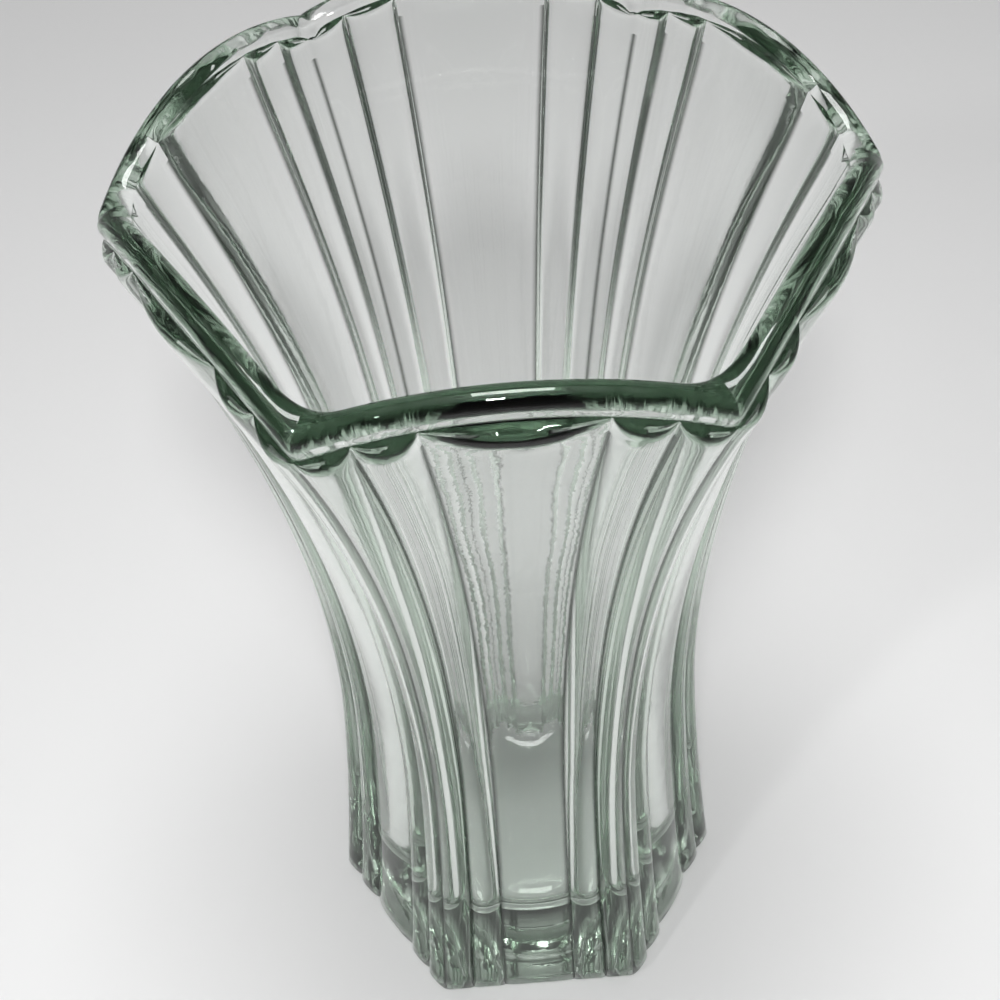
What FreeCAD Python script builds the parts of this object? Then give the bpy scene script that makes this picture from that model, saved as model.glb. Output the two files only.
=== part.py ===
"""Fan vase: one pressed-glass moulding with six arched, fluted sides that flare from a heavy foot.

The front side faces -Y.  One side, a sixth of the vase, is modelled between the two upright planes
that run through its corners, and is then repeated around the axis.
The origin is on the resting face, on the axis.  Lengths are in millimetres, angles in degrees.
"""
import FreeCAD, Part
import math
import os

import Sketcher

NODE = "vase_body"
SIDES = 6
FULL_TURN = 360.0
SIDE_ANGLE = FULL_TURN / SIDES
HALF_ANGLE = SIDE_ANGLE / 2

# Driving dimensions: alias, value, meaning.  A level is a height above the resting face, and an
# apothem is measured from the axis to the bottoms of the valleys between the flutes.
DIMENSIONS = (
    ("corner_height", 200.0, "top of the lip at the six corners"),
    ("arch_rise", 6.8, "lip at the middle of a side, above the corners"),
    ("foot_apothem", 37.6, "apothem at the resting face"),
    ("waist_height", 73.0, "level of the narrowest section"),
    ("waist_apothem", 32.7, "apothem at the waist"),
    ("foot_curve", 1.5, "how much of the spread below the waist comes near the foot; 1 is straight"),
    ("shoulder_drop", 2.0, "from the lip's foot down to the end of the curve that rises from the waist"),
    ("rim_apothem", 56.67, "apothem where the lip starts, at a corner"),
    ("rim_lean", 18.5, "lean of the wall and the lip there"),
    ("narrow_bulge_share", 0.25, "rise of a narrow flute, as a share of its width"),
    ("wide_bulge_share", 0.115, "rise of the wide middle flute, as a share of its width"),
    ("wide_foot_share", 0.36, "edge of the wide flute at the foot, as a share of the half side"),
    ("wide_rim_share", 0.41, "edge of the wide flute at the rim, as a share of the half side"),
    ("pair_foot_share", 0.70, "valley of the narrow pair at the foot, as a share of the half side"),
    ("pair_rim_share", 0.713, "valley of the narrow pair at the rim, as a share of the half side"),
    ("lip_width", 5.1, "width of the rounded lip, square to the wall"),
    ("lip_height", 4.0, "height of the lip above the cut-off tops of the flutes"),
    ("lip_inset", 0.2, "lip set back from the bottoms of the valleys"),
    ("lip_inner_radius", 2.3, "round on the inner edge of the lip"),
    ("flute_top_slope", 30.0, "slope of the flutes' cut-off tops, from square to the wall"),
    ("floor_wall", 7.0, "wall at the inner floor, to the bottoms of the valleys"),
    ("floor_thickness", 21.5, "solid glass under the inner floor"),
    ("inner_corner_radius", 12.0, "upright corners of the hollow"),
    ("floor_round_radius", 10.0, "round between the inner floor and the wall"),
    ("foot_round_radius", 8.5, "round at the bottom edge of the foot"),
    ("dish_radius", 22.0, "radius of the shallow dish under the foot"),
    ("dish_depth", 1.2, "depth of that dish"),
    ("overrun", 4.0, "how far a cutting shape runs past the glass"),
)

# Levels of the sections, as shares of the way up to past the rim, closer together at both ends.
LEVEL_SHARES = (0, 0.02, 0.1, 0.2, 0.3, 0.4, 0.5, 0.6, 0.7, 0.8, 0.86, 0.92, 0.97, 1)
SECTION_NUMBERS = range(len(LEVEL_SHARES))

doc = FreeCAD.newDocument("fan_vase")


def make_sheet(name, rows):
    """A spreadsheet with one row for each (alias, content, meaning)."""
    sheet = doc.addObject("Spreadsheet::Sheet", name)
    for number, (alias, content, meaning) in enumerate(rows, 1):
        sheet.set("A%d" % number, alias)
        sheet.set("B%d" % number, str(content))
        sheet.setAlias("B%d" % number, alias)
        sheet.set("C%d" % number, meaning)
    doc.recompute()
    return sheet


sizes = make_sheet("Sizes", DIMENSIONS)

# Expressions for the upright profile of the valleys.
PAST_RIM = "(Sizes.corner_height + Sizes.arch_rise + Sizes.overrun)"
LIP_FOOT = "(Sizes.corner_height - Sizes.lip_height)"
SHOULDER = "(" + LIP_FOOT + " - Sizes.shoulder_drop)"
BELOW_WAIST = (
    "Sizes.waist_apothem + (Sizes.foot_apothem - Sizes.waist_apothem)"
    " * (1 - {level} / Sizes.waist_height) ^ Sizes.foot_curve"
)
STRAIGHT = "Sizes.rim_apothem + ({level} - " + LIP_FOOT + ") * tan(Sizes.rim_lean)"
FLARE_SPREAD = "(Sizes.rim_apothem - Sizes.shoulder_drop * tan(Sizes.rim_lean) - Sizes.waist_apothem)"
FLARE_RADIUS = "((({0} - Sizes.waist_height) ^ 2 + {1} ^ 2) / (2 * {1}))".format(SHOULDER, FLARE_SPREAD)
FLARE = (
    "Sizes.waist_apothem + " + FLARE_RADIUS
    + " - sqrt(" + FLARE_RADIUS + " ^ 2 - ({level} - Sizes.waist_height) ^ 2)"
)
RIM_WALL = "(Sizes.lip_width / cos(Sizes.rim_lean) + Sizes.lip_inset)"


def valley_apothem(level):
    """Apothem of the valleys at a level: the foot's spread, the upright curve, then the lean."""
    choice = "({level} < Sizes.waist_height ? {foot} : {level} < {shoulder} ? {flare} : {rim})"
    return choice.format(
        level=level,
        shoulder=SHOULDER,
        foot=BELOW_WAIST.format(level=level),
        flare=FLARE.format(level=level),
        rim=STRAIGHT.format(level=level),
    )


def part_way(low, high, start, level):
    """The size that goes evenly from low at the start level to high at the foot of the lip."""
    return "({0} + ({1} - {0}) * ({3} - {2}) / ({4} - {2}))".format(low, high, start, level, LIP_FOOT)


def section_rows():
    """Worked-out sizes of the sections of the glass and of its hollow, as the rows of a sheet."""
    rows = []
    for kind, start in (("solid", "0"), ("hollow", "Sizes.floor_thickness")):
        for number, share in enumerate(LEVEL_SHARES):
            name = "%s_%d_" % (kind, number)
            level = name + "level"
            apothem = name + "apothem"
            rows.append((level, "=%s + (%s - %s) * %s" % (start, PAST_RIM, start, share), "height"))
            rows.append((apothem, "=" + valley_apothem(level), "axis to the valleys"))
            if kind == "hollow":
                wall = part_way("Sizes.floor_wall", RIM_WALL, "Sizes.floor_thickness", level)
                rows.append((name + "inner", "=%s - %s" % (apothem, wall), "axis to the inner wall"))
                continue
            half_side = name + "half_side"
            wide = part_way("Sizes.wide_foot_share", "Sizes.wide_rim_share", "0", level)
            pair = part_way("Sizes.pair_foot_share", "Sizes.pair_rim_share", "0", level)
            rows.append((half_side, "=%s * tan(%s)" % (apothem, HALF_ANGLE), "middle to a corner"))
            rows.append((name + "wide", "=%s * %s" % (half_side, wide), "middle to the wide flute's edge"))
            rows.append((name + "pair", "=%s * %s" % (half_side, pair), "middle to the pair's valley"))
    return rows


sections = make_sheet("Sections", section_rows())


def point(across, up):
    return FreeCAD.Vector(across, up, 0)


UPWARD = FreeCAD.Vector(0, 0, 1)

# Places in a sketch: the points of an edge, which count from 1, the two axes, and the origin.
START, END, CENTRE = range(1, 4)
LEVEL_AXIS, UPRIGHT_AXIS = range(-1, -3, -1)
ORIGIN = (LEVEL_AXIS, START)


def origin_feature(body, role):
    """The origin plane or axis of a body that has this role."""
    for feature in body.Origin.OriginFeatures:
        if feature.Role == role:
            return feature
    raise ValueError("no origin feature " + role)


def new_sketch(body, name, role):
    """A sketch on an origin plane of the body."""
    sketch = body.newObject("Sketcher::SketchObject", name)
    sketch.AttachmentSupport = [(origin_feature(body, role), "")]
    sketch.MapMode = "FlatFace"
    return sketch


def relate(sketch, kind, *places):
    """Adds a constraint without a size."""
    sketch.addConstraint(Sketcher.Constraint(kind, *places))


def bind(sketch, constraint, expression):
    """Adds a constraint whose size follows an expression of the sheets."""
    index = sketch.addConstraint(constraint)
    sketch.setExpression("Constraints[%d]" % index, expression)


def hold_across(sketch, edge, place, expression):
    """Holds a point of an edge at this distance across from the sketch's origin."""
    drawn = sketch.getPoint(edge, place).x
    bind(sketch, Sketcher.Constraint("DistanceX", *ORIGIN, edge, place, drawn), expression)


def hold_up(sketch, edge, place, expression):
    """Holds a point of an edge at this distance up from the sketch's origin."""
    drawn = sketch.getPoint(edge, place).y
    bind(sketch, Sketcher.Constraint("DistanceY", *ORIGIN, edge, place, drawn), expression)


def hold_radius(sketch, edge, expression):
    """Holds the radius of an arc."""
    drawn = sketch.Geometry[edge].Radius
    bind(sketch, Sketcher.Constraint("Radius", edge, drawn), expression)


def add_lines(sketch, corners):
    """Lines from each corner to the next, joined end to end."""
    lines = []
    for start, end in zip(corners, corners[1:]):
        lines.append(sketch.addGeometry(Part.LineSegment(start, end), False))
    for first, second in zip(lines, lines[1:]):
        relate(sketch, "Coincident", first, END, second, START)
    return lines


def add_arc(sketch, centre, radius, first, last):
    """An arc, anticlockwise between two angles in radians."""
    circle = Part.Circle(centre, UPWARD, radius)
    return sketch.addGeometry(Part.ArcOfCircle(circle, first, last), False)


def close_behind(sketch, left_edge, right_edge, behind):
    """Closes a section with three lines, from its right end around behind the axis."""
    right = sketch.getPoint(right_edge, END)
    left = sketch.getPoint(left_edge, START)
    back = sizes.overrun
    lines = add_lines(sketch, [right, point(right.x, back), point(left.x, back), left])
    relate(sketch, "Coincident", right_edge, END, lines[0], START)
    relate(sketch, "Coincident", lines[2], END, left_edge, START)
    relate(sketch, "Vertical", lines[0])
    relate(sketch, "Horizontal", lines[1])
    relate(sketch, "Vertical", lines[2])
    hold_up(sketch, lines[1], START, behind)


def arc_radius(chord, rise_share):
    """Radius of an arc that rises by a share of its chord, as an expression."""
    return "(%s) * (1 + 4 * %s ^ 2) / (8 * %s)" % (chord, rise_share, rise_share)


def flute_outline(body, number):
    """A section of the side: a wide flute between two narrow pairs, all convex.

    The outer flutes run a little past the corners, where the side is trimmed later.
    """
    section = "Sections.solid_%d_" % number
    sketch = new_sketch(body, "flutes_%d" % number, "XY_Plane")
    sketch.setExpression("AttachmentOffset.Base.z", section + "level")
    apothem = sections.get("solid_%d_apothem" % number)
    half_side = sections.get("solid_%d_half_side" % number)
    wide = sections.get("solid_%d_wide" % number)
    pair = sections.get("solid_%d_pair" % number)
    narrow, broad = sizes.narrow_bulge_share, sizes.wide_bulge_share
    past = narrow * (half_side - pair)
    flutes = []
    for left, right, share in (
        (-half_side, -pair, narrow),
        (-pair, -wide, narrow),
        (-wide, wide, broad),
        (wide, pair, narrow),
        (pair, half_side, narrow),
    ):
        chord = right - left
        radius = chord * (1 + 4 * share ** 2) / (8 * share)
        centre = point((left + right) / 2, radius - share * chord - apothem)
        reach = math.asin(chord / 2 / radius)
        past_reach = math.pi / 2 + math.asin((past - apothem - centre.y) / radius)
        first = past_reach if left == -half_side else reach
        last = past_reach if right == half_side else reach
        down = -math.pi / 2
        flutes.append(add_arc(sketch, centre, radius, down - first, down + last))
    for left, right in zip(flutes, flutes[1:]):
        relate(sketch, "Coincident", left, END, right, START)
    end_left, narrow_left, middle, narrow_right, end_right = flutes
    valleys_up = "-%sapothem" % section
    hold_across(sketch, middle, END, section + "wide")
    hold_up(sketch, middle, END, valleys_up)
    hold_across(sketch, middle, START, "-%swide" % section)
    relate(sketch, "Horizontal", middle, START, middle, END)
    hold_across(sketch, narrow_right, END, section + "pair")
    relate(sketch, "Horizontal", middle, END, narrow_right, END)
    relate(sketch, "Symmetric", narrow_left, START, narrow_right, END, UPRIGHT_AXIS)
    wide_chord = "2 * {0}wide".format(section)
    pair_chord = "({0}pair - {0}wide)".format(section)
    end_chord = "({0}half_side - {0}pair)".format(section)
    hold_radius(sketch, middle, arc_radius(wide_chord, "Sizes.wide_bulge_share"))
    hold_radius(sketch, narrow_right, arc_radius(pair_chord, "Sizes.narrow_bulge_share"))
    hold_radius(sketch, end_right, arc_radius(end_chord, "Sizes.narrow_bulge_share"))
    relate(sketch, "Equal", narrow_left, narrow_right)
    relate(sketch, "Equal", end_left, end_right)
    corner = sketch.addGeometry(Part.Point(point(half_side, -apothem)), True)
    hold_across(sketch, corner, START, section + "half_side")
    hold_up(sketch, corner, START, valleys_up)
    relate(sketch, "PointOnObject", corner, START, end_right)
    hold_up(sketch, end_right, END, "%s + Sizes.narrow_bulge_share * %s" % (valleys_up, end_chord))
    relate(sketch, "Symmetric", end_left, START, end_right, END, UPRIGHT_AXIS)
    close_behind(sketch, end_left, end_right, "Sizes.overrun")
    return sketch


def hollow_outline(body, number):
    """A section of the hollow: a straight inner wall between two rounded corners."""
    section = "Sections.hollow_%d_" % number
    sketch = new_sketch(body, "hollow_%d" % number, "XY_Plane")
    sketch.setExpression("AttachmentOffset.Base.z", section + "level")
    inner = sections.get("hollow_%d_inner" % number)
    radius = sizes.inner_corner_radius
    turn = math.radians(SIDE_ANGLE)
    down = -math.pi / 2
    tangent = (inner - radius) * math.tan(turn / 2)
    left = add_arc(sketch, point(-tangent, radius - inner), radius, down - turn, down)
    wall = add_lines(sketch, [point(-tangent, -inner), point(tangent, -inner)])[0]
    right = add_arc(sketch, point(tangent, radius - inner), radius, down, down + turn)
    relate(sketch, "Tangent", left, END, wall, START)
    relate(sketch, "Tangent", wall, END, right, START)
    relate(sketch, "Symmetric", wall, START, wall, END, UPRIGHT_AXIS)
    tangent_at = "(%sinner - Sizes.inner_corner_radius) * tan(%s)" % (section, HALF_ANGLE)
    end_at = "%s + Sizes.inner_corner_radius * sin(%s)" % (tangent_at, SIDE_ANGLE)
    hold_across(sketch, wall, END, tangent_at)
    hold_up(sketch, wall, END, "-%sinner" % section)
    hold_radius(sketch, right, "Sizes.inner_corner_radius")
    relate(sketch, "Equal", left, right)
    hold_across(sketch, right, END, end_at)
    relate(sketch, "Horizontal", left, START, right, END)
    close_behind(sketch, left, right, "2 * Sizes.overrun")
    return sketch


def loft(body, kind, name, sketches):
    """A smooth loft of the body through its sketches."""
    feature = body.newObject(kind, name)
    feature.Profile = sketches[0]
    feature.Sections = sketches[1:]
    return feature


# Expressions for the arch of a side.  Its plane leans with the wall, and its axis lies square to it.
ARCH_FOOT_LEVEL = (
    "(Sizes.corner_height + Sizes.arch_rise - Sizes.lip_width / 2 * (1 + sin(Sizes.rim_lean))"
    " - (Sizes.lip_height - Sizes.lip_width / 2) * cos(Sizes.rim_lean))"
)
ARCH_FOOT_APOTHEM = "(%s - Sizes.lip_inset)" % STRAIGHT.format(level=ARCH_FOOT_LEVEL)
ARCH_HALF_CHORD = (
    "((Sizes.rim_apothem - Sizes.lip_inset - Sizes.lip_width / 2) * tan(%s))" % HALF_ANGLE
)
ARCH_SAGITTA = "(Sizes.arch_rise / cos(Sizes.rim_lean))"
ARCH_RADIUS = "(({0} ^ 2 + {1} ^ 2) / (2 * {1}))".format(ARCH_HALF_CHORD, ARCH_SAGITTA)
LIP_FOOT_RADIUS = "(%s - Sizes.lip_height)" % ARCH_RADIUS


def lip_outline(body):
    """All that lies above the lip and the flutes' tops, square to the wall, over the arch's axis.

    Across is from the foot of the lip inwards, and up is from the axis of the arch.
    """
    sketch = new_sketch(body, "above_lip", "YZ_Plane")
    axis_across = "%s * sin(Sizes.rim_lean) - %s" % (LIP_FOOT_RADIUS, ARCH_FOOT_APOTHEM)
    axis_up = "%s - %s * cos(Sizes.rim_lean)" % (ARCH_FOOT_LEVEL, LIP_FOOT_RADIUS)
    sketch.setExpression("AttachmentOffset.Base.x", axis_across)
    sketch.setExpression("AttachmentOffset.Base.y", axis_up)
    sketch.setExpression("AttachmentOffset.Rotation.Angle", "Sizes.rim_lean")
    half_chord = math.tan(math.radians(HALF_ANGLE)) * (
        sizes.rim_apothem - sizes.lip_inset - sizes.lip_width / 2
    )
    sagitta = sizes.arch_rise / math.cos(math.radians(sizes.rim_lean))
    top = (half_chord ** 2 + sagitta ** 2) / (2 * sagitta)
    foot = top - sizes.lip_height
    radius = sizes.lip_width / 2
    past = 2 * sizes.overrun
    high = top + 2 * (sizes.arch_rise + sizes.overrun)
    corners = [
        point(radius, top),
        point(2 * radius + past, top),
        point(2 * radius + past, high),
        point(-past, high),
        point(-past, foot - past * math.tan(math.radians(sizes.flute_top_slope))),
        point(0, foot),
        point(0, top - radius),
    ]
    lines = add_lines(sketch, corners)
    lip = add_arc(sketch, point(radius, top - radius), radius, math.pi / 2, math.pi)
    relate(sketch, "Tangent", lip, START, lines[0], START)
    relate(sketch, "Tangent", lip, END, lines[5], END)
    for line in (lines[0], lines[2]):
        relate(sketch, "Horizontal", line)
    for line in (lines[1], lines[3], lines[5]):
        relate(sketch, "Vertical", line)
    relate(sketch, "PointOnObject", lines[4], END, UPRIGHT_AXIS)
    hold_up(sketch, lines[4], END, LIP_FOOT_RADIUS)
    hold_radius(sketch, lip, "Sizes.lip_width / 2")
    hold_up(sketch, lip, START, ARCH_RADIUS)
    hold_across(sketch, lines[1], START, "Sizes.lip_width + 2 * Sizes.overrun")
    hold_up(sketch, lines[1], END, ARCH_RADIUS + " + 2 * (Sizes.arch_rise + Sizes.overrun)")
    hold_across(sketch, lines[3], END, "-2 * Sizes.overrun")
    slope_end = LIP_FOOT_RADIUS + " - 2 * Sizes.overrun * tan(Sizes.flute_top_slope)"
    hold_up(sketch, lines[3], END, slope_end)
    return sketch


FOOT_CREST = (
    "(Sizes.foot_apothem + Sizes.narrow_bulge_share * (Sections.solid_0_pair - Sections.solid_0_wide))"
)


def foot_edge_outline(body):
    """What the rounded bottom edge of the foot leaves out, square to the side."""
    sketch = new_sketch(body, "outside_foot_round", "YZ_Plane")
    rise = sizes.narrow_bulge_share * (sections.solid_0_pair - sections.solid_0_wide)
    crest = sizes.foot_apothem + rise
    radius = sizes.foot_round_radius
    outside = crest + 2 * sizes.overrun
    corners = [
        point(-crest, radius),
        point(-outside, radius),
        point(-outside, -sizes.overrun),
        point(radius - crest, -sizes.overrun),
        point(radius - crest, 0),
    ]
    lines = add_lines(sketch, corners)
    edge = add_arc(sketch, point(radius - crest, radius), radius, math.pi, 3 * math.pi / 2)
    relate(sketch, "Coincident", edge, START, lines[0], START)
    relate(sketch, "Coincident", edge, END, lines[3], END)
    relate(sketch, "Horizontal", edge, CENTRE, edge, START)
    relate(sketch, "Vertical", edge, CENTRE, edge, END)
    relate(sketch, "Horizontal", lines[0])
    relate(sketch, "Vertical", lines[1])
    relate(sketch, "Horizontal", lines[2])
    relate(sketch, "Vertical", lines[3])
    relate(sketch, "PointOnObject", edge, END, LEVEL_AXIS)
    hold_radius(sketch, edge, "Sizes.foot_round_radius")
    hold_across(sketch, edge, START, "-" + FOOT_CREST)
    hold_across(sketch, lines[1], START, "-(%s + 2 * Sizes.overrun)" % FOOT_CREST)
    hold_up(sketch, lines[1], END, "-Sizes.overrun")
    return sketch


LAST = "Sections.solid_%d_" % SECTION_NUMBERS[-1]


def beside_outline(body):
    """Everything outside the two upright planes through the corners of the side."""
    sketch = new_sketch(body, "beside_side", "XY_Plane")
    reach = sections.get("solid_%d_apothem" % SECTION_NUMBERS[-1]) + 2 * sizes.overrun
    across = reach * math.tan(math.radians(HALF_ANGLE))
    past = 2 * sizes.overrun
    corners = [
        point(0, 0),
        point(across, -reach),
        point(across + past, -reach),
        point(across + past, past),
        point(-across - past, past),
        point(-across - past, -reach),
        point(-across, -reach),
        point(0, 0),
    ]
    lines = add_lines(sketch, corners)
    relate(sketch, "Coincident", lines[0], START, *ORIGIN)
    relate(sketch, "Coincident", lines[6], END, *ORIGIN)
    across_at = "(%sapothem + 2 * Sizes.overrun) * tan(%s)" % (LAST, HALF_ANGLE)
    hold_across(sketch, lines[0], END, across_at)
    hold_up(sketch, lines[0], END, "-(%sapothem + 2 * Sizes.overrun)" % LAST)
    relate(sketch, "Symmetric", lines[0], END, lines[6], START, UPRIGHT_AXIS)
    relate(sketch, "Horizontal", lines[1])
    relate(sketch, "Vertical", lines[2])
    relate(sketch, "Symmetric", lines[3], START, lines[3], END, UPRIGHT_AXIS)
    relate(sketch, "Vertical", lines[4])
    relate(sketch, "Horizontal", lines[5])
    hold_across(sketch, lines[1], END, across_at + " + 2 * Sizes.overrun")
    hold_up(sketch, lines[2], END, "2 * Sizes.overrun")
    return sketch


def dish_outline(body):
    """Half a section of the shallow dish under the foot, beside the axis."""
    sketch = new_sketch(body, "dish_section", "XZ_Plane")
    radius = (sizes.dish_radius ** 2 + sizes.dish_depth ** 2) / (2 * sizes.dish_depth)
    lines = add_lines(
        sketch,
        [
            point(0, sizes.dish_depth),
            point(0, -sizes.overrun),
            point(sizes.dish_radius, -sizes.overrun),
            point(sizes.dish_radius, 0),
        ],
    )
    first = math.acos(sizes.dish_radius / radius)
    dish = add_arc(sketch, point(0, sizes.dish_depth - radius), radius, first, math.pi / 2)
    relate(sketch, "Coincident", dish, END, lines[0], START)
    relate(sketch, "Coincident", dish, START, lines[2], END)
    relate(sketch, "PointOnObject", dish, CENTRE, UPRIGHT_AXIS)
    relate(sketch, "PointOnObject", lines[0], START, UPRIGHT_AXIS)
    relate(sketch, "PointOnObject", dish, START, LEVEL_AXIS)
    relate(sketch, "Vertical", lines[0])
    relate(sketch, "Horizontal", lines[1])
    relate(sketch, "Vertical", lines[2])
    hold_across(sketch, dish, START, "Sizes.dish_radius")
    hold_up(sketch, dish, END, "Sizes.dish_depth")
    hold_up(sketch, lines[0], END, "-Sizes.overrun")
    return sketch


# Two points nearer than this are the same point.
CLOSE = 1e-4


def on_corner_plane(place):
    """True for a place on one of the two upright planes through the corners of the side."""
    across = -place.y * math.tan(math.radians(HALF_ANGLE))
    return abs(abs(place.x) - across) < CLOSE


def borders_floor(shape, edge):
    """True for an edge between the inner floor and the wall."""
    levels = [vertex.Z for vertex in edge.Vertexes]
    at_floor = all(abs(level - sizes.floor_thickness) < CLOSE for level in levels)
    middle = edge.valueAt((edge.FirstParameter + edge.LastParameter) / 2)
    return at_floor and not on_corner_plane(middle)


def borders_lip_inside(shape, edge):
    """True for an edge between the round top of the lip and the lofted inner wall."""
    kinds = {face.Surface.TypeId for face in shape.ancestorsOfType(edge, Part.Face)}
    high = edge.Vertexes[0].Z > sizes.waist_height
    return high and kinds == {"Part::GeomCylinder", "Part::GeomBSplineSurface"}


def round_edges(body, name, wanted, radius):
    """A Fillet of the edges that a test picks."""
    base = body.Tip
    shape = base.Shape
    picked = []
    for number, edge in enumerate(shape.Edges, 1):
        if wanted(shape, edge):
            picked.append("Edge%d" % number)
    feature = body.newObject("PartDesign::Fillet", name)
    feature.Base = (base, picked)
    feature.setExpression("Radius", radius)
    doc.recompute()
    return feature


def pocket(body, name, profile):
    """A Pocket through everything, to both sides of its sketch."""
    feature = body.newObject("PartDesign::Pocket", name)
    feature.Profile = profile
    feature.Type = "ThroughAll"
    feature.SideType = "Symmetric"
    return feature


def groove(body, name, profile, axis, angle):
    """A Groove around an axis, to both sides of its sketch."""
    feature = body.newObject("PartDesign::Groove", name)
    feature.Profile = profile
    feature.ReferenceAxis = axis
    feature.Midplane = True
    feature.Angle = angle
    return feature


def check_cut(feature):
    """Stops the build where a feature takes no glass away."""
    doc.recompute()
    if feature.Shape.Volume >= feature.BaseFeature.Shape.Volume:
        raise ValueError(feature.Label + " takes no glass away")


vase = doc.addObject("PartDesign::Body", NODE)
vase.Label = NODE

flutes = [flute_outline(vase, number) for number in SECTION_NUMBERS]
loft(vase, "PartDesign::AdditiveLoft", "fluted_side", flutes)
hollows = [hollow_outline(vase, number) for number in SECTION_NUMBERS]
check_cut(loft(vase, "PartDesign::SubtractiveLoft", "hollow", hollows))

above_lip = lip_outline(vase)
check_cut(groove(vase, "arched_lip", above_lip, (above_lip, ["H_Axis"]), SIDE_ANGLE))
check_cut(pocket(vase, "foot_edge", foot_edge_outline(vase)))
check_cut(pocket(vase, "corner_planes", beside_outline(vase)))

check_cut(round_edges(vase, "lip_inside_round", borders_lip_inside, "Sizes.lip_inner_radius"))
round_edges(vase, "floor_round", borders_floor, "Sizes.floor_round_radius")

six_sides = vase.newObject("PartDesign::PolarPattern", "six_sides")
six_sides.TransformMode = "Whole shape"
six_sides.Axis = (origin_feature(vase, "Z_Axis"), [""])
six_sides.Angle = FULL_TURN
six_sides.Occurrences = SIDES
vase.Tip = six_sides
doc.recompute()

dish = groove(vase, "dish", dish_outline(vase), (origin_feature(vase, "Z_Axis"), [""]), FULL_TURN)
dish.Midplane = False
check_cut(dish)

for item in doc.Objects:
    if "Invalid" in item.State or "Error" in item.State:
        raise ValueError("%s: %s" % (item.Label, item.getStatusString()))
    shape = getattr(item, "Shape", None)
    if shape is not None and item.TypeId != "PartDesign::Plane" and (shape.isNull() or not shape.isValid()):
        raise ValueError(item.Label + " has no valid shape")
if len(vase.Shape.Solids) != 1:
    raise ValueError("the vase is not one solid")

os.makedirs("parts", exist_ok=True)
vase.Shape.exportStep("parts/%s.step" % vase.Label)
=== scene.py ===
"""Fan vase of clear pressed glass, dressed over its CAD frame.

One smooth mesh takes the place of the vase's solid.  It is drawn row by row, from the middle of the
underside, up the fluted outside, over the arched lip, and down the hollow to the inner floor.
"""
import math

import bpy
import numpy as np
from bpy.props import FloatProperty, FloatVectorProperty, IntProperty, PointerProperty
from mathutils import Matrix, Vector


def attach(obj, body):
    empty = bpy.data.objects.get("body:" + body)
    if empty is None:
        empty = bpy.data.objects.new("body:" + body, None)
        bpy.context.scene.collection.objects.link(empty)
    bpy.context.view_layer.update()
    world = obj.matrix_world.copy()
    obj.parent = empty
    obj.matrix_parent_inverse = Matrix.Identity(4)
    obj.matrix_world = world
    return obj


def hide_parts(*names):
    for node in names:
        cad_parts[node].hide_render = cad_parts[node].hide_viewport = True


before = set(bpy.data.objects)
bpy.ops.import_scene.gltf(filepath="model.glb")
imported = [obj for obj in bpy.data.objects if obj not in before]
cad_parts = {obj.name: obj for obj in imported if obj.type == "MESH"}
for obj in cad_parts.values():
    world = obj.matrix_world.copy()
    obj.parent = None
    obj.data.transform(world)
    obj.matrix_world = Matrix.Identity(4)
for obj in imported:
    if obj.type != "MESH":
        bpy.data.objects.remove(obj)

bl_info = {
    "name": "Fan vase",
    "version": (1, 0, 0),
    "blender": (4, 5, 0),
    "location": "3D View > Sidebar > Fan vase",
    "description": "Builds a fluted fan vase of pressed glass and the studio around it",
    "category": "Add Mesh",
}

NODE = "vase_body"
BODY = "root"
SIDES = 6
HALF_ANGLE = math.pi / SIDES
CORNER_SLOPE = math.tan(HALF_ANGLE)

# What the mesh tells its material: how far a point lies from a valley, which sets the painted shade
# along the valleys, and whether it is on the lip.
VALLEY_REACH = "valley_reach"
LIP_SHARE = "lip_share"

# The flutes of one side: narrow, narrow, wide, narrow, narrow.
WIDE_FLUTE = 2
FLUTES = 5

# Rows between a flute's top and the lip's foot, and between the dish and the foot's edge, by share.
SLOPE_SHARES = (0.45, 0.7, 0.88)
RING_SHARES = (0.05, 0.35, 0.7, 0.95)

# A crease is rounded over no more than this share of the way to the next row.
CREASE_SHARE = 0.45
TINY = 1e-9
TOP_ROUND_STEPS = 4
FOOT_ROUND_STEPS = 2

# Tries that find where two surfaces meet, and that settle the lip's rounded corners.
HALVINGS = 44
CORNER_TRIES = 14


def length(name, description, default):
    return FloatProperty(
        name=name, description=description, default=default, min=0.0, unit="LENGTH"
    )


def share(name, description, default):
    return FloatProperty(name=name, description=description, default=default, min=0.0, max=1.0)


def count(name, description, default):
    return IntProperty(name=name, description=description, default=default)


def angle(name, description, default):
    return FloatProperty(name=name, description=description, default=default, subtype="ANGLE")


def colour(name, description, default):
    return FloatVectorProperty(
        name=name,
        description=description,
        default=default,
        subtype="COLOR",
        size=3,
        min=0.0,
        max=1.0,
    )


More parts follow.
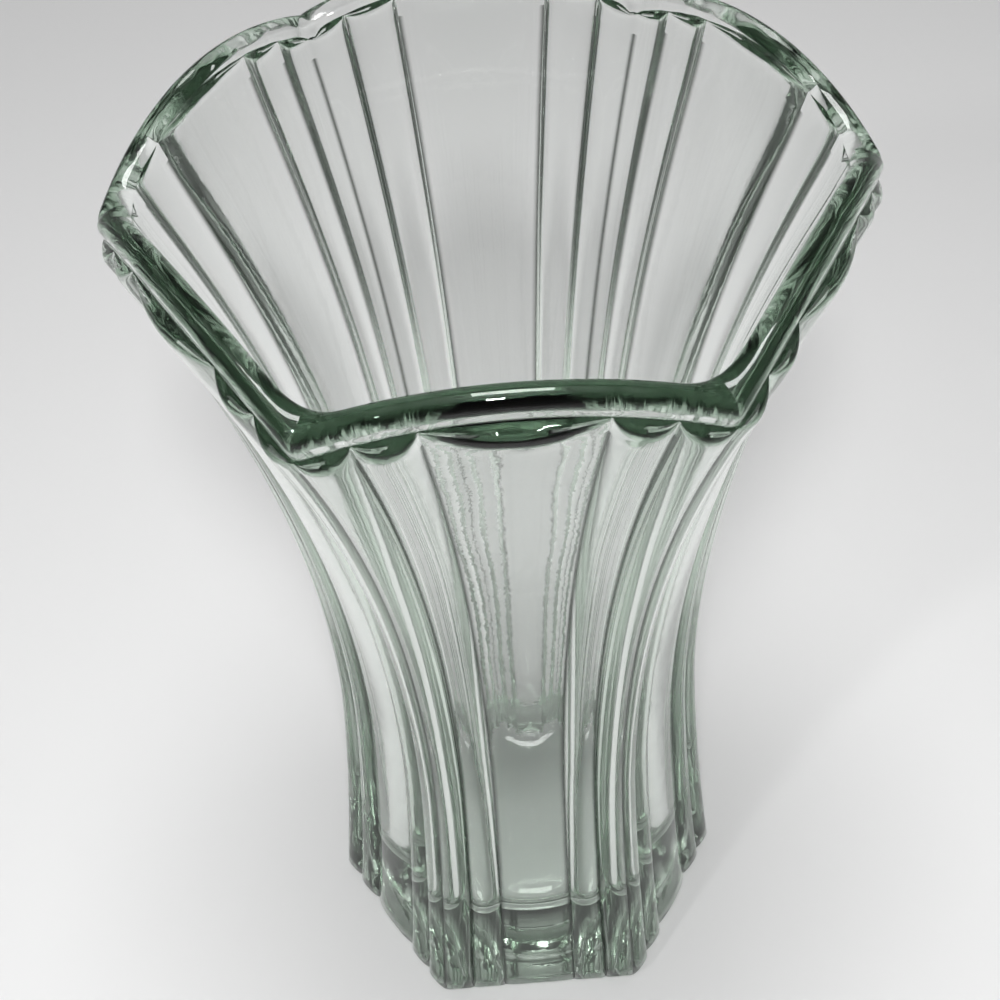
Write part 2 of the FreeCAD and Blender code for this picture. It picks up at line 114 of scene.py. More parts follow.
class VaseSizes(bpy.types.PropertyGroup):
    """Sizes of the glass."""

    corner_height: length("Corner height", "Top of the lip at the six corners", 0.200)
    arch_rise: length("Arch rise", "Lip at the middle of a side, above the corners", 0.0068)
    foot_apothem: length("Foot apothem", "Axis to the valleys at the resting face", 0.0376)
    waist_height: length("Waist height", "Level of the narrowest section", 0.073)
    waist_apothem: length("Waist apothem", "Axis to the valleys at the waist", 0.0327)
    foot_curve: FloatProperty(
        name="Foot curve",
        description="How much of the spread below the waist comes near the foot; 1 is straight",
        default=1.5,
        min=1.0,
    )
    shoulder_drop: length(
        "Shoulder drop", "From the lip's foot down to the end of the flare's curve", 0.002
    )
    rim_apothem: length("Rim apothem", "Axis to the valleys where the lip starts", 0.05667)
    rim_lean: angle("Rim lean", "Lean of the wall and the lip at the rim", math.radians(18.5))
    narrow_bulge: share(
        "Narrow flute rise", "Rise of a narrow flute, as a share of its width", 0.25
    )
    wide_bulge: share("Wide flute rise", "Rise of the wide flute, as a share of its width", 0.115)
    wide_foot: share("Wide flute at the foot", "Its edge, as a share of the half side", 0.36)
    wide_rim: share("Wide flute at the rim", "Its edge, as a share of the half side", 0.41)
    pair_foot: share("Narrow pair at the foot", "Their valley, as a share of the half side", 0.70)
    pair_rim: share("Narrow pair at the rim", "Their valley, as a share of the half side", 0.713)
    lip_width: length("Lip width", "Width of the rounded lip, square to the wall", 0.0051)
    lip_height: length("Lip height", "Height of the lip above the flutes' tops", 0.0040)
    lip_inset: length("Lip inset", "Lip set back from the bottoms of the valleys", 0.0002)
    lip_inner_radius: length("Lip inner radius", "Round on the inner edge of the lip", 0.0023)
    lip_corner_radius: length("Lip corner radius", "Round of the lip at the six corners", 0.003)
    flute_top_slope: angle(
        "Flute top slope", "Slope of the flutes' cut-off tops", math.radians(30.0)
    )
    flute_top_round: length("Flute top round", "Worn round along the flutes' tops", 0.0015)
    floor_wall: length("Wall at the floor", "Wall at the inner floor, to the valleys", 0.007)
    floor_thickness: length("Floor thickness", "Solid glass under the inner floor", 0.0215)
    inner_corner_radius: length("Inner corner radius", "Upright corners of the hollow", 0.012)
    floor_round_radius: length("Floor round", "Round between the inner floor and the wall", 0.010)
    foot_round_radius: length("Foot round", "Round at the bottom edge of the foot", 0.0085)
    dish_radius: length("Dish radius", "Radius of the shallow dish under the foot", 0.022)
    dish_depth: length("Dish depth", "Depth of that dish", 0.0012)


class VaseMesh(bpy.types.PropertyGroup):
    """How finely the glass is divided."""

    narrow_columns: count("Narrow flute columns", "Columns in a narrow flute", 16)
    wide_columns: count("Wide flute columns", "Columns in a wide flute", 20)
    wall_rows: count("Wall rows", "Rows up a wall", 56)
    lip_rows: count("Lip rows", "Rows in a quarter of the lip", 10)
    round_rows: count("Round rows", "Rows in the rounds of the foot and floor", 10)
    floor_rows: count("Floor rows", "Rows from the edge of a floor to its middle", 10)


class VaseLooks(bpy.types.PropertyGroup):
    """Colours of the glass and the studio."""

    tint: colour("Glass tint", "Colour that deep glass takes", (0.40, 0.60, 0.43))
    tint_depth: FloatProperty(
        name="Tint strength",
        description="How quickly the tint deepens, per metre",
        default=11.0,
        min=0.0,
    )
    # Painted shade: along the valleys the glass's base colour darkens to this colour, standing in
    # for the dark lines that refraction of darker surroundings gives there; the glass itself has no
    # such colour.
    valley_painted_shade: colour(
        "Valley painted shade", "Tint of the glass along the bottoms of the valleys", (0.04, 0.045, 0.04)
    )
    valley_width: length("Valley width", "How far that tint reaches up the flutes", 0.0012)
    floor: colour("Floor", "Colour of the floor", (0.80, 0.80, 0.80))
    haze: share("Haze", "Roughness that handling leaves on the glass", 0.02)
    ripple: length("Ripple", "Height of the soft waves that pressing leaves", 0.0004)


def lip_foot(v):
    return v.corner_height - v.lip_height


def valley_apothem(v, level):
    """Axis to the valleys at a level: the foot's spread, the upright curve, then the lean."""
    lean = math.tan(v.rim_lean)
    shoulder = lip_foot(v) - v.shoulder_drop
    spread = v.rim_apothem - v.shoulder_drop * lean - v.waist_apothem
    radius = ((shoulder - v.waist_height) ** 2 + spread ** 2) / (2 * spread)
    below = np.maximum(1 - level / v.waist_height, 0) ** v.foot_curve
    foot = v.waist_apothem + (v.foot_apothem - v.waist_apothem) * below
    rise = np.clip(level - v.waist_height, 0, radius)
    flare = v.waist_apothem + radius - np.sqrt(radius ** 2 - rise ** 2)
    rim = v.rim_apothem + (level - lip_foot(v)) * lean
    return np.where(level < v.waist_height, foot, np.where(level < shoulder, flare, rim))


def inner_apothem(v, level):
    """Axis to the inner wall; the wall thins evenly from the floor to the lip."""
    rim_wall = v.lip_width / math.cos(v.rim_lean) + v.lip_inset
    way = (level - v.floor_thickness) / (lip_foot(v) - v.floor_thickness)
    return valley_apothem(v, level) - (v.floor_wall + (rim_wall - v.floor_wall) * way)


class Arch:
    """The arch of a side, in a frame that leans with the wall, around an axis square to it."""

    def __init__(self, v):
        self.cos = math.cos(v.rim_lean)
        self.sin = math.sin(v.rim_lean)
        half_width = v.lip_width / 2
        level = (
            v.corner_height + v.arch_rise - half_width * (1 + self.sin)
            - (v.lip_height - half_width) * self.cos
        )
        apothem = v.rim_apothem + (level - lip_foot(v)) * self.sin / self.cos - v.lip_inset
        half_chord = (v.rim_apothem - v.lip_inset - half_width) * CORNER_SLOPE
        sagitta = v.arch_rise / self.cos
        self.radius = (half_chord ** 2 + sagitta ** 2) / (2 * sagitta)
        self.foot_radius = self.radius - v.lip_height
        self.axis_out = apothem - self.foot_radius * self.sin
        self.axis_up = level - self.foot_radius * self.cos

    def depth(self, out, up):
        """How far a point stands outward of the lip's outer face."""
        return (out - self.axis_out) * self.cos - (up - self.axis_up) * self.sin

    def reach(self, across, out, up):
        """How far a point lies from the arch's axis."""
        along_wall = (out - self.axis_out) * self.sin + (up - self.axis_up) * self.cos
        return np.hypot(across, along_wall)


def rounded_corner(way, apothem, radius):
    """Across and out for each column of a side whose corner has this radius."""
    straight = (apothem - radius) * CORNER_SLOPE
    arc = radius * HALF_ANGLE
    share_straight = straight / (straight + arc)
    along = np.abs(way)
    turn = HALF_ANGLE * np.clip((along - share_straight) / (1 - share_straight), 0, 1)
    across = np.minimum(along / share_straight, 1) * straight + radius * np.sin(turn)
    return np.sign(way) * across, apothem - radius + radius * np.cos(turn)


def flute_columns(narrow_columns, wide_columns):
    """The flute of each column of a side, and how far across that flute it lies, from -1 to 1.

    Columns crowd towards the valleys, so that these stay crisp.
    """
    flutes, across = [], []
    for flute in range(FLUTES):
        columns = wide_columns if flute == WIDE_FLUTE else narrow_columns
        flutes += [flute] * columns
        across += [-math.cos(math.pi * column / columns) for column in range(columns)]
    return np.array(flutes), np.array(across)


def flute_point(v, flutes, across, level):
    """Across and out of the outside at a level, and the share of the half side."""
    apothem = valley_apothem(v, level)
    half_side = apothem * CORNER_SLOPE
    way = level / lip_foot(v)
    wide = half_side * (v.wide_foot + (v.wide_rim - v.wide_foot) * way)
    pair = half_side * (v.pair_foot + (v.pair_rim - v.pair_foot) * way)
    edges = np.array([-half_side, -pair, -wide, wide, pair, half_side])
    columns = np.arange(len(flutes))
    left = edges[flutes, columns]
    right = edges[flutes + 1, columns]
    rise = np.where(flutes == WIDE_FLUTE, v.wide_bulge, v.narrow_bulge)
    radius = (right - left) * (1 + 4 * rise ** 2) / (8 * rise)
    reach = np.arcsin((right - left) / 2 / radius)
    place = (left + right) / 2 + radius * np.sin(reach * across)
    out = apothem + radius * (np.cos(reach * across) - np.cos(reach))
    return place, out, place / half_side


def meeting_level(low, high, too_high):
    """The level in each column where a test turns true, found by halving."""
    for _ in range(HALVINGS):
        middle = (low + high) / 2
        over = too_high(middle)
        high = np.where(over, middle, high)
        low = np.where(over, low, middle)
    return (low + high) / 2


def soften(before, corner, after, size, steps):
    """Rows that round a crease: a curve from a little before the corner to a little after it."""
    def towards(target):
        run = target - corner
        far = np.linalg.norm(run, axis=1, keepdims=True)
        return corner + run * np.minimum(size / np.maximum(far, TINY), CREASE_SHARE)

    start, end = towards(before), towards(after)
    rows = []
    for step in range(steps + 1):
        t = step / steps
        rows.append(start * (1 - t) ** 2 + corner * 2 * t * (1 - t) + end * t ** 2)
    return rows


def rows_of_side(v, sizes):
    """All rows of one side, from the underside's middle, over the lip, to the inner floor's middle.

    Each row holds (across, out, up) for every column.  The rows of the fluted wall, those of the
    lip and the columns that run along valleys are given beside them.
    """
    flutes, across = flute_columns(sizes.narrow_columns, sizes.wide_columns)
    columns = len(flutes)
    arch = Arch(v)
    slope = math.tan(v.flute_top_slope)
    nought = np.zeros(columns)

    def row(place, out, up):
        return np.column_stack(np.broadcast_arrays(place, out, up + nought))

    def over_flute_top(level):
        place, out, _ = flute_point(v, flutes, across, level)
        return arch.reach(place, out, level) > arch.foot_radius - arch.depth(out, level) * slope

    top = meeting_level(
        nought + v.waist_height, nought + v.corner_height + v.arch_rise, over_flute_top
    )
    place, out, way = flute_point(v, flutes, across, top)
    flute_top = row(place, out, top)

    def lip_row(depth, reach):
        """A row of the lip; its corners are rounded in plan."""
        across_now = way * CORNER_SLOPE * v.rim_apothem
        for _ in range(CORNER_TRIES):
            along_wall = np.sqrt(reach ** 2 - across_now ** 2)
            apothem = arch.axis_out + depth * arch.cos + along_wall * arch.sin
            across_now, out_now = rounded_corner(way, apothem, v.lip_corner_radius)
        return row(across_now, out_now, arch.axis_up - depth * arch.sin + along_wall * arch.cos)

    # The foot's round, up to where the flutes leave it.
    half_side = v.foot_apothem * CORNER_SLOPE
    crest = v.foot_apothem + v.narrow_bulge * half_side * (v.pair_foot - v.wide_foot)
    foot_round = v.foot_round_radius

    def foot_limit(level):
        below = foot_round - np.minimum(level, foot_round)
        return crest - foot_round + np.sqrt(np.maximum(foot_round ** 2 - below ** 2, 0))

    def past_foot(level):
        return flute_point(v, flutes, across, level)[1] < foot_limit(level)

    start = meeting_level(nought, nought + foot_round, past_foot)
    place, out, _ = flute_point(v, flutes, across, start)
    rows = []
    first_turn = np.arcsin(np.clip(1 - start / foot_round, 0, 1))
    for step in range(sizes.round_rows):
        turn = math.pi / 2 + (first_turn - math.pi / 2) * step / sizes.round_rows
        level = foot_round - foot_round * np.sin(turn)
        limit = foot_limit(level)
        rows.append(row(place * limit / foot_limit(start), limit, level))
    ring = rows[0]

    # The fluted wall, then the sloped tops of the flutes and the lip's outer face.
    wall = []
    for step in range(sizes.wall_rows + 1):
        level = start + (top - start) * step / sizes.wall_rows
        place, out, _ = flute_point(v, flutes, across, level)
        wall.append(row(place, out, level))
    wall = [r for r in wall if np.all(np.linalg.norm(r - flute_top, axis=1) > v.flute_top_round)]
    depth_at_top = arch.depth(flute_top[:, 1], flute_top[:, 2])
    lip_foot_row = lip_row(nought, arch.foot_radius + nought)
    wall_start = len(rows)
    rows += wall
    wall_end = len(rows)
    rows += soften(wall[-1], flute_top, lip_foot_row, v.flute_top_round, TOP_ROUND_STEPS)
    for step in SLOPE_SHARES:
        depth = depth_at_top * (1 - step)
        rows.append(lip_row(depth, arch.foot_radius - depth * slope))
    half_width = v.lip_width / 2
    round_start = lip_row(nought, arch.radius - half_width + nought)
    rows += soften(rows[-1], lip_foot_row, round_start, v.flute_top_round / 2, FOOT_ROUND_STEPS)
    rows.append((rows[-1] + round_start) / 2)
    for step in range(sizes.lip_rows + 1):
        turn = math.pi / 2 * step / sizes.lip_rows
        depth = half_width * (math.cos(turn) - 1)
        reach = arch.radius - half_width + half_width * math.sin(turn)
        rows.append(lip_row(depth + nought, reach + nought))

    # The lip's inner edge and the hollow's wall.
    inner_round = v.lip_inner_radius

    def over_inner_edge(level):
        place, out = rounded_corner(way, inner_apothem(v, level), v.inner_corner_radius)
        return arch.reach(place, out, level) > arch.radius - inner_round

    inside_top = meeting_level(
        nought + v.waist_height, nought + v.corner_height + 2 * v.arch_rise, over_inner_edge
    )
    place, out = rounded_corner(way, inner_apothem(v, inside_top), v.inner_corner_radius)
    inside_row = row(place, out, inside_top)
    depth_inside = arch.depth(out, inside_top)
    for step in range(sizes.lip_rows + 1):
        turn = math.pi / 2 * step / sizes.lip_rows
        mix = step / sizes.lip_rows
        depth = depth_inside + inner_round * (1 - math.sin(turn))
        edge = lip_row(depth, arch.radius - inner_round + inner_round * math.cos(turn) + nought)
        rows.append(edge * (1 - mix) + inside_row * mix)
    lip_end = len(rows)
    floor_round = v.floor_round_radius
    round_top = v.floor_thickness + floor_round
    for step in range(1, sizes.wall_rows + 1):
        level = inside_top + (round_top - inside_top) * step / sizes.wall_rows
        place, out = rounded_corner(way, inner_apothem(v, level), v.inner_corner_radius)
        rows.append(row(place, out, level))
    for step in range(1, sizes.round_rows + 1):
        turn = math.pi / 2 * step / sizes.round_rows
        level = round_top - floor_round * math.sin(turn) + nought
        inset = floor_round * (1 - math.cos(turn))
        apothem = inner_apothem(v, level) - inset
        rows.append(row(*rounded_corner(way, apothem, v.inner_corner_radius - inset), level))
    last = rows[-1]
    for step in range(1, sizes.floor_rows):
        still = 1 - step / sizes.floor_rows
        rows.append(last * (still, still, 1))

    # The underside: the shallow dish, then the flat ring that the vase stands on.
    bearing = np.arctan2(ring[:, 0], ring[:, 1])
    dish_round = (v.dish_radius ** 2 + v.dish_depth ** 2) / (2 * v.dish_depth)
    under = []
    for step in range(1, sizes.floor_rows + 1):
        out = v.dish_radius * step / sizes.floor_rows
        level = v.dish_depth - dish_round + math.sqrt(dish_round ** 2 - out ** 2)
        under.append(row(out * np.sin(bearing), out * np.cos(bearing), level))
    for mix in RING_SHARES:
        under.append(under[sizes.floor_rows - 1] * (1 - mix) + ring * mix)
    below = len(under)
    wall_rows = slice(below + wall_start, below + wall_end)
    lip_rows = slice(below + wall_end, below + lip_end)
    return under + rows, wall_rows, lip_rows, np.flatnonzero(across == -1)


def reach_from_valley(grid, wall, valleys):
    """How far each point of the fluted wall lies from its nearest valley; elsewhere it is large."""
    rows, columns = grid.shape[:2]
    side = columns // SIDES
    starts = np.concatenate([valleys + side * number for number in range(SIDES)])
    left = starts[np.searchsorted(starts, np.arange(columns), side="right") - 1]
    right = np.append(starts, starts[0])[np.searchsorted(starts, np.arange(columns), side="right")]
    reach = np.full((rows, columns), grid.max())
    fluted = grid[wall]
    from_left = np.linalg.norm(fluted - fluted[:, left], axis=2)
    from_right = np.linalg.norm(fluted - fluted[:, right], axis=2)
    reach[wall] = np.minimum(from_left, from_right)
    return reach


def glass_mesh(v, sizes):
    """The whole vase as one closed mesh of quads; a fan of triangles closes each floor's middle."""
    side, wall, lip, valleys = rows_of_side(v, sizes)
    side = np.array(side)
    turns = []
    for number in range(SIDES):
        bearing = 2 * math.pi * number / SIDES - math.pi / 2
        outward = np.array((math.cos(bearing), math.sin(bearing), 0))
        along = np.array((-math.sin(bearing), math.cos(bearing), 0))
        upward = np.array((0, 0, 1))
        turns.append(side[..., 1:2] * outward + side[..., 0:1] * along + side[..., 2:3] * upward)
    grid = np.concatenate(turns, axis=1)
    rows, columns = grid.shape[:2]
    middles = ((0, 0, v.dish_depth), (0, 0, v.floor_thickness))
    points = np.concatenate((grid.reshape(-1, 3), middles))
    here = np.arange(columns)
    beside = (here + 1) % columns
    faces = []
    for row in range(rows - 1):
        low, high = row * columns, (row + 1) * columns
        faces.append(np.column_stack((low + here, low + beside, high + beside, high + here)))
    faces = np.concatenate(faces).tolist()
    under, inside = rows * columns, rows * columns + 1
    faces += np.column_stack((beside, here, np.full(columns, under))).tolist()
    last = (rows - 1) * columns
    faces += np.column_stack((last + here, last + beside, np.full(columns, inside))).tolist()
    mesh = bpy.data.meshes.new("pressed_vase")
    mesh.from_pydata(points.tolist(), [], faces)
    lip_share = np.zeros((rows, columns))
    lip_share[lip] = 1.0
    for name, values, at_middle in (
        (VALLEY_REACH, reach_from_valley(grid, wall, valleys), 1.0),
        (LIP_SHARE, lip_share, 0.0),
    ):
        values = np.append(values.ravel(), (at_middle, at_middle)).astype(np.float32)
        mesh.attributes.new(name, "FLOAT", "POINT").data.foreach_set("value", values)
    mesh.validate()
    mesh.shade_smooth()
    return mesh


def add_node(tree, kind, **values):
    """A node with these input values; a key that is no input is a setting of the node."""
    node = tree.nodes.new(kind)
    for key, value in values.items():
        if key in node.inputs:
            node.inputs[key].default_value = value
        else:
            setattr(node, key, value)
    return node


def group_tree(name, inputs, outputs):
    """An empty node group with these sockets, each (name, kind, default)."""
    tree = bpy.data.node_groups.new(name, "ShaderNodeTree")
    for title, kind, default in inputs:
        tree.interface.new_socket(title, in_out="INPUT", socket_type=kind).default_value = default
    for title, kind in outputs:
        tree.interface.new_socket(title, in_out="OUTPUT", socket_type=kind)
    return tree, tree.nodes.new("NodeGroupInput"), tree.nodes.new("NodeGroupOutput")


GLASS_IOR = 1.52

# Height of the fine grain beside the waves, and how much the waves stretch upright.
GRAIN_SHARE = 0.04
WAVE_STRETCH = (1.0, 1.0, 0.35)


def pressed_ripple():
    """Shared group: the soft waves and lumps that a press leaves, and the haze of handling."""
    name = "Pressed ripple"
    if name in bpy.data.node_groups:
        return bpy.data.node_groups[name]
    tree, given, made = group_tree(
        name,
        (
            ("Wave Scale", "NodeSocketFloat", 40.0),
            ("Grain Scale", "NodeSocketFloat", 300.0),
            ("Lump Scale", "NodeSocketFloat", 150.0),
            ("Lumps", "NodeSocketFloat", 0.0),
            ("Haze", "NodeSocketFloat", 0.02),
        ),
        (("Height", "NodeSocketFloat"), ("Roughness", "NodeSocketFloat")),
    )
    link = tree.links.new
    place = add_node(tree, "ShaderNodeTexCoord")
    stretch = add_node(tree, "ShaderNodeMapping")
    stretch.inputs["Scale"].default_value = WAVE_STRETCH
    waves = add_node(tree, "ShaderNodeTexNoise", Detail=1.0, Roughness=0.4)
    grain = add_node(tree, "ShaderNodeTexNoise", Detail=3.0, Roughness=0.6)
    smears = add_node(tree, "ShaderNodeTexNoise", Detail=2.0, Roughness=0.5)
    spread = add_node(
        tree, "ShaderNodeMapRange", **{"From Min": 0.5, "From Max": 0.75, "To Min": 0.0}
    )
    both = add_node(tree, "ShaderNodeMath", operation="MULTIPLY_ADD")
    both.inputs[1].default_value = GRAIN_SHARE
    lumps = add_node(tree, "ShaderNodeTexNoise", Detail=1.0, Roughness=0.4)
    centred = add_node(tree, "ShaderNodeMath", operation="SUBTRACT")
    centred.inputs[1].default_value = 0.5
    height = add_node(tree, "ShaderNodeMath", operation="MULTIPLY_ADD")
    link(place.outputs["Object"], stretch.inputs["Vector"])
    link(stretch.outputs["Vector"], waves.inputs["Vector"])
    link(place.outputs["Object"], grain.inputs["Vector"])
    link(place.outputs["Object"], smears.inputs["Vector"])
    link(given.outputs["Wave Scale"], waves.inputs["Scale"])
    link(given.outputs["Grain Scale"], grain.inputs["Scale"])
    link(given.outputs["Wave Scale"], smears.inputs["Scale"])
    link(grain.outputs["Fac"], both.inputs[0])
    link(waves.outputs["Fac"], both.inputs[2])
    link(place.outputs["Object"], lumps.inputs["Vector"])
    link(given.outputs["Lump Scale"], lumps.inputs["Scale"])
    link(lumps.outputs["Fac"], centred.inputs[0])
    link(centred.outputs["Value"], height.inputs[0])
    link(given.outputs["Lumps"], height.inputs[1])
    link(both.outputs["Value"], height.inputs[2])
    link(height.outputs["Value"], made.inputs["Height"])
    link(smears.outputs["Fac"], spread.inputs["Value"])
    link(given.outputs["Haze"], spread.inputs["To Max"])
    link(spread.outputs["Result"], made.inputs["Roughness"])
    return tree


def glass_material(looks):
    """Clear, faintly green pressed glass, with painted shade along the bottoms of the valleys."""
    material = bpy.data.materials.new("clear_green_glass")
    material.use_nodes = True
    tree = material.node_tree
    tree.nodes.clear()
    link = tree.links.new
    surface = add_node(tree, "ShaderNodeBsdfPrincipled", IOR=GLASS_IOR, Roughness=0.0)
    surface.inputs["Transmission Weight"].default_value = 1.0
    # Painted shade: near the valleys the base colour mixes towards the valley shade colour,
    # darkening the light that passes there.
    reach = add_node(tree, "ShaderNodeAttribute", attribute_name=VALLEY_REACH)
    nearness = add_node(tree, "ShaderNodeMapRange", interpolation_type="SMOOTHSTEP")
    nearness.inputs["From Min"].default_value = 0.0
    nearness.inputs["From Max"].default_value = looks.valley_width
    valley = add_node(tree, "ShaderNodeMix", data_type="RGBA")
    valley.inputs["A"].default_value = (*looks.valley_painted_shade, 1.0)
    valley.inputs["B"].default_value = (1.0, 1.0, 1.0, 1.0)
    depth = add_node(tree, "ShaderNodeVolumeAbsorption")
    depth.inputs["Color"].default_value = (*looks.tint, 1.0)
    depth.inputs["Density"].default_value = looks.tint_depth
    ripple = add_node(tree, "ShaderNodeGroup", node_tree=pressed_ripple())
    ripple.inputs["Haze"].default_value = looks.haze
    bump = add_node(tree, "ShaderNodeBump", Strength=1.0, Distance=looks.ripple)
    out = add_node(tree, "ShaderNodeOutputMaterial")
    lip = add_node(tree, "ShaderNodeAttribute", attribute_name=LIP_SHARE)
    link(lip.outputs["Fac"], ripple.inputs["Lumps"])
    link(reach.outputs["Fac"], nearness.inputs["Value"])
    link(nearness.outputs["Result"], valley.inputs["Factor"])
    link(valley.outputs["Result"], surface.inputs["Base Color"])
    link(ripple.outputs["Height"], bump.inputs["Height"])
    link(ripple.outputs["Roughness"], surface.inputs["Roughness"])
    link(bump.outputs["Normal"], surface.inputs["Normal"])
    link(surface.outputs["BSDF"], out.inputs["Surface"])
    link(depth.outputs["Volume"], out.inputs["Volume"])
    return material


class VASE_OT_glass(bpy.types.Operator):
    """Builds the glass vase in the place of its solid"""

    bl_idname = "vase.glass"
    bl_label = "Glass vase"

    def execute(self, context):
        mesh = glass_mesh(context.scene.vase_sizes, context.scene.vase_mesh)
        mesh.materials.append(glass_material(context.scene.vase_looks))
        vase = bpy.data.objects.new("pressed_vase", mesh)
        context.scene.collection.objects.link(vase)
        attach(vase, BODY)
        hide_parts(NODE)
        return {"FINISHED"}


# The floor lies this far under the foot, and its mottle goes down to this share of its colour.
FLOOR_HALF_WIDTH = 6.0
FLOOR_GAP = 0.0001
FLOOR_ROUGHNESS = 0.9
MOTTLE_SHARE = 0.985

# Light runs far along the wall before it leaves the lip.
GLASS_BOUNCES = 16

# The camera's place around the vase, from the photograph's perspective.
CAMERA_DISTANCE = 0.35590
CAMERA_ELEVATION = math.radians(46.755)
CAMERA_AZIMUTH = math.radians(-0.122)
CAMERA_ROLL = math.radians(-4.371)
AIM = Vector((-0.006366, 0.0, 0.122971))
SENSOR_WIDTH = 36.0
LENS = 1.831874 * SENSOR_WIDTH
SHIFT = (0.0248, 0.0050)
NEAR_CLIP = 0.01

# Each lamp: azimuth and elevation in degrees, distance and size in metres, power in watts.
LAMPS = (
    ("key_lamp", -2, 55, 0.66, 0.09, 2.9),
    ("top_lamp", 180, 88, 0.85, 0.30, 3.5),
    ("side_lamp", -40, 42, 1.00, 0.06, 1.2),
)
LAMP_AIM = Vector((0, 0, 0.1))

# The world, from straight down, over the horizon, to straight up: place on the ramp and grey.
SKY = ((0.0, 0.17), (0.50, 0.17), (0.60, 0.10), (0.75, 0.06), (0.90, 0.06), (0.96, 0.5), (1.0, 0.8))


def aim_frame(azimuth, elevation, roll):
    """Right, up and back of something that looks from this side, as the columns of a matrix."""
    back = Vector(
        (
            math.sin(azimuth) * math.cos(elevation),
            -math.cos(azimuth) * math.cos(elevation),
            math.sin(elevation),
        )
    )
    right = (-back).cross(Vector((0, 0, 1))).normalized()
    up = right.cross(-back)
    turned_right = right * math.cos(roll) + up * math.sin(roll)
    turned_up = up * math.cos(roll) - right * math.sin(roll)
    return Matrix((turned_right, turned_up, back)).transposed(), back


def add_camera(scene):
    camera = bpy.data.objects.new("camera", bpy.data.cameras.new("camera"))
    frame_matrix, back = aim_frame(CAMERA_AZIMUTH, CAMERA_ELEVATION, CAMERA_ROLL)
    camera.matrix_world = Matrix.Translation(AIM + back * CAMERA_DISTANCE) @ frame_matrix.to_4x4()
    camera.data.sensor_width = SENSOR_WIDTH
    camera.data.lens = LENS
    camera.data.shift_x, camera.data.shift_y = SHIFT
    camera.data.clip_start = NEAR_CLIP
    scene.collection.objects.link(camera)
    scene.camera = camera


def add_lamp(scene, name, azimuth, elevation, distance, size, power):
    """A square soft lamp that looks at the vase from this side."""
    lamp = bpy.data.objects.new(name, bpy.data.lights.new(name, "AREA"))
    frame_matrix, back = aim_frame(math.radians(azimuth), math.radians(elevation), 0)
    lamp.matrix_world = Matrix.Translation(LAMP_AIM + back * distance) @ frame_matrix.to_4x4()
    lamp.data.shape = "SQUARE"
    lamp.data.size = size
    lamp.data.energy = power
    scene.collection.objects.link(lamp)


def floor_material(looks):
    """Matt pale floor with the faintest mottle."""
    material = bpy.data.materials.new("pale_floor")
    material.use_nodes = True
    tree = material.node_tree
    surface = tree.nodes["Principled BSDF"]
    surface.inputs["Roughness"].default_value = FLOOR_ROUGHNESS
    surface.inputs["Specular IOR Level"].default_value = 0.0
    mottle = add_node(tree, "ShaderNodeTexNoise", Scale=3.0, Detail=2.0)
    ramp = add_node(tree, "ShaderNodeMix", data_type="RGBA")
    ramp.inputs["A"].default_value = (*(MOTTLE_SHARE * part for part in looks.floor), 1.0)
    ramp.inputs["B"].default_value = (*looks.floor, 1.0)
    tree.links.new(mottle.outputs["Fac"], ramp.inputs["Factor"])
    tree.links.new(ramp.outputs["Result"], surface.inputs["Base Color"])
    return material


def add_floor(scene, looks):
    mesh = bpy.data.meshes.new("floor")
    half = FLOOR_HALF_WIDTH
    corners = [(-half, -half, 0), (half, -half, 0), (half, half, 0), (-half, half, 0)]
    mesh.from_pydata(corners, [], [(0, 1, 2, 3)])
    floor = bpy.data.objects.new("floor", mesh)
    floor.location.z = -FLOOR_GAP
    floor.data.materials.append(floor_material(looks))
    scene.collection.objects.link(floor)


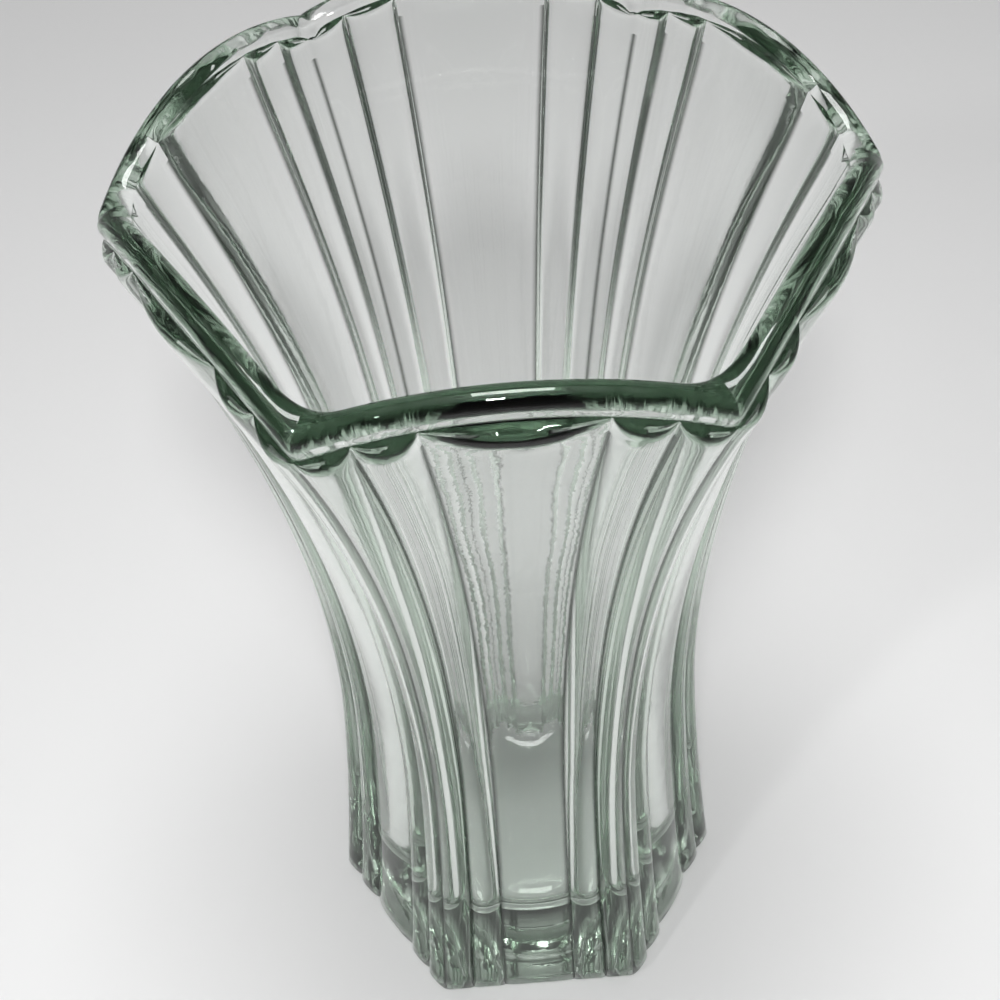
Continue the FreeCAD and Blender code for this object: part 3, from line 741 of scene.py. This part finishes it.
def set_world(scene):
    """A plain studio: grey up to the horizon, darker above, with a soft bright ceiling."""
    world = bpy.data.worlds.new("studio")
    world.use_nodes = True
    tree = world.node_tree
    backdrop = tree.nodes["Background"]
    place = add_node(tree, "ShaderNodeTexCoord")
    parts = add_node(tree, "ShaderNodeSeparateXYZ")
    height = add_node(tree, "ShaderNodeMapRange", **{"From Min": -1.0, "From Max": 1.0})
    ramp = add_node(tree, "ShaderNodeValToRGB")
    stops = ramp.color_ramp.elements
    while len(stops) < len(SKY):
        stops.new(0.5)
    for stop, (at, grey) in zip(stops, SKY):
        stop.position = at
        stop.color = (grey, grey, grey, 1.0)
    tree.links.new(place.outputs["Generated"], parts.inputs["Vector"])
    tree.links.new(parts.outputs["Z"], height.inputs["Value"])
    tree.links.new(height.outputs["Result"], ramp.inputs["Fac"])
    tree.links.new(ramp.outputs["Color"], backdrop.inputs["Color"])
    scene.world = world


class VASE_OT_stage(bpy.types.Operator):
    """Sets the floor, the lamps, the studio's backdrop and the camera"""

    bl_idname = "vase.stage"
    bl_label = "Stage"

    def execute(self, context):
        scene = context.scene
        scene.view_settings.view_transform = "Standard"
        scene.cycles.max_bounces = GLASS_BOUNCES
        scene.cycles.transmission_bounces = GLASS_BOUNCES
        scene.cycles.glossy_bounces = GLASS_BOUNCES
        add_floor(scene, scene.vase_looks)
        set_world(scene)
        for lamp in LAMPS:
            add_lamp(scene, *lamp)
        add_camera(scene)
        return {"FINISHED"}


class VASE_PT_panel(bpy.types.Panel):
    """Sizes, looks and steps of the fan vase"""

    bl_idname = "VASE_PT_panel"
    bl_label = "Fan vase"
    bl_space_type = "VIEW_3D"
    bl_region_type = "UI"
    bl_category = "Fan vase"

    def draw(self, context):
        layout = self.layout
        for group in (context.scene.vase_sizes, context.scene.vase_mesh, context.scene.vase_looks):
            box = layout.box()
            for key in group.__annotations__:
                box.prop(group, key)
        layout.operator(VASE_OT_glass.bl_idname)
        layout.operator(VASE_OT_stage.bl_idname)


CLASSES = (VaseSizes, VaseMesh, VaseLooks, VASE_OT_glass, VASE_OT_stage, VASE_PT_panel)


def register():
    for item in CLASSES:
        bpy.utils.register_class(item)
    bpy.types.Scene.vase_sizes = PointerProperty(type=VaseSizes)
    bpy.types.Scene.vase_mesh = PointerProperty(type=VaseMesh)
    bpy.types.Scene.vase_looks = PointerProperty(type=VaseLooks)


def unregister():
    del bpy.types.Scene.vase_looks
    del bpy.types.Scene.vase_mesh
    del bpy.types.Scene.vase_sizes
    for item in reversed(CLASSES):
        bpy.utils.unregister_class(item)


def main():
    register()
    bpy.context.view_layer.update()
    bpy.ops.vase.glass()
    bpy.ops.vase.stage()


if __name__ == "__main__":
    main()
